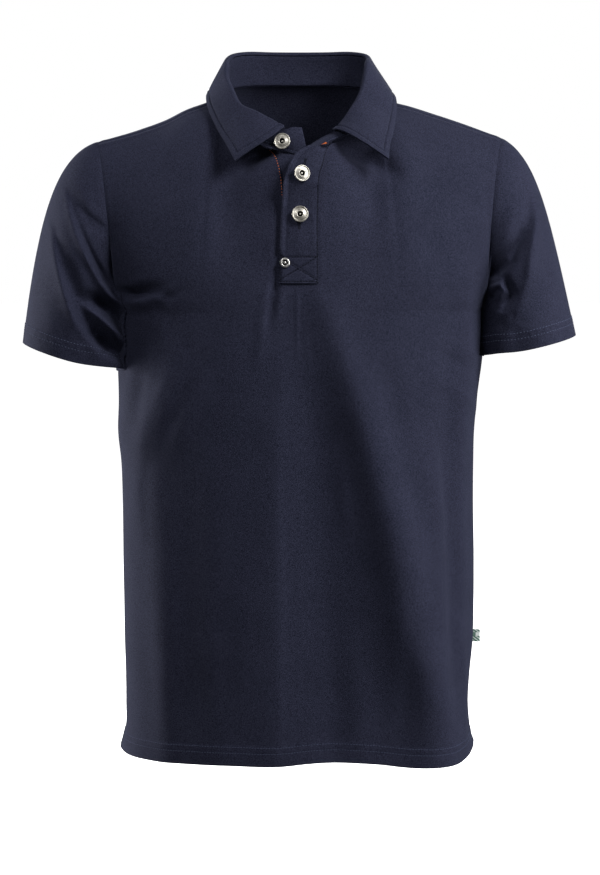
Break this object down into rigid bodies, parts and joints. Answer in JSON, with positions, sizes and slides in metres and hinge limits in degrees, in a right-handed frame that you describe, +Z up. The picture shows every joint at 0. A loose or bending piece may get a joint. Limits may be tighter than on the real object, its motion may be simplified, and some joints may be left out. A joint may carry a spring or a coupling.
{
  "type": "polo shirt",
  "caption": "Short-sleeved polo shirt in the form it takes when worn, with a stand collar, an open buttoned placket and hollow body, sleeves and neck.",
  "frame": {"origin": "mid-plane of the shirt, level with the inner ends of the shoulder seams, where the wearer's shoulders and neck hold it", "axes": "+Z up, -Y out of the chest, +X towards the wearer's left sleeve"},
  "size_m": [0.6025, 0.2419, 0.7689],
  "materials": {
    "navy_pique": "matte",
    "navy_band": "matte",
    "nickel": "satin",
    "green_ribbon": "matte"
  },
  "bodies": {
    "root": {"front_panel": "navy_pique", "back_panel": "navy_pique", "sleeve_left": "navy_pique", "sleeve_right": "navy_pique", "collar_stand": "navy_pique", "collar_leaf": "navy_pique", "placket_over": "navy_band", "placket_under": "navy_band", "button_1": "nickel", "button_2": "nickel", "button_3": "nickel", "corner_stud": "nickel", "side_tab": "green_ribbon"}
  },
  "joints": []
}
